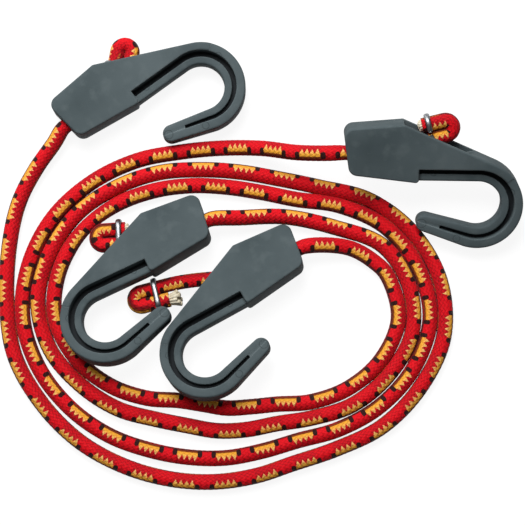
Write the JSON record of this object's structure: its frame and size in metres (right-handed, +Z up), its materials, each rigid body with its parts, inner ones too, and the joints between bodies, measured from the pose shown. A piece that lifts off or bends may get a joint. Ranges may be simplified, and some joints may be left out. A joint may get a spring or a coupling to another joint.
{
  "type": "bungee cords with hooks",
  "caption": "Elastic cords in braided sheaths, coiled side by side, with hollow moulded hooks at their ends that hold the folded, clipped cord.",
  "frame": {"origin": "on the table under the middle of the four hooks", "axes": "+Z up from the table, +X from the upper left hook towards the raised one, +Y away from the viewer of the picture"},
  "size_m": [0.2899, 0.2523, 0.0412],
  "materials": {
    "sheath": "woven polyester braid with a yellow and black pattern",
    "core": "cream rubber strands",
    "hook": "dark grey moulded nylon, satin",
    "clip": "bright steel wire"
  },
  "bodies": {
    "coil": {"cord_1_sheath": "sheath", "cord_1_core": "core", "cord_2_sheath": "sheath", "cord_2_core": "core"},
    "hook_a_body": {"hook_a": "hook"},
    "end_a_body": {"end_a_sheath": "sheath", "end_a_core": "core", "clip_a": "clip"},
    "hook_b_body": {"hook_b": "hook"},
    "end_b_body": {"end_b_sheath": "sheath", "end_b_core": "core", "clip_b": "clip"},
    "hook_c_body": {"hook_c": "hook"},
    "end_c_body": {"end_c_sheath": "sheath", "end_c_core": "core", "clip_c": "clip"},
    "hook_d_body": {"hook_d": "hook"},
    "end_d_body": {"end_d_sheath": "sheath", "end_d_core": "core", "clip_d": "clip"}
  },
  "joints": [
    {"name": "swivel_a", "type": "hinge", "parent": "coil", "child": "hook_a_body", "pos_m": [-0.1222, 0.0521, 0.0085], "axis": [-0.807, -0.5906, 0], "range_deg": [0, 40]},
    {"name": "push_a", "type": "slide", "parent": "hook_a_body", "child": "end_a_body", "axis": [0.807, 0.5906, 0], "range_m": [0, 0.004]},
    {"name": "swivel_b", "type": "hinge", "parent": "coil", "child": "hook_b_body", "pos_m": [0.0332, 0.0337, 0.0265], "axis": [-0.9999, 0.014, 0], "range_deg": [0, 60]},
    {"name": "push_b", "type": "slide", "parent": "hook_b_body", "child": "end_b_body", "axis": [0.9999, -0.014, 0], "range_m": [0, 0.008]},
    {"name": "swivel_c", "type": "hinge", "parent": "coil", "child": "hook_c_body", "pos_m": [-0.0442, -0.0023, 0.0112], "axis": [-0.9041, -0.4274, 0], "range_deg": [0, 10]},
    {"name": "push_c", "type": "slide", "parent": "hook_c_body", "child": "end_c_body", "axis": [-0.9041, -0.4274, 0], "range_m": [0, 0.002]},
    {"name": "swivel_d", "type": "hinge", "parent": "coil", "child": "hook_d_body", "pos_m": [0.0069, -0.018, 0.01093], "axis": [-0.8763, -0.4818, 0], "range_deg": [0, 5]},
    {"name": "push_d", "type": "slide", "parent": "hook_d_body", "child": "end_d_body", "axis": [-0.8763, -0.4818, 0], "range_m": [0, 0.008]}
  ]
}
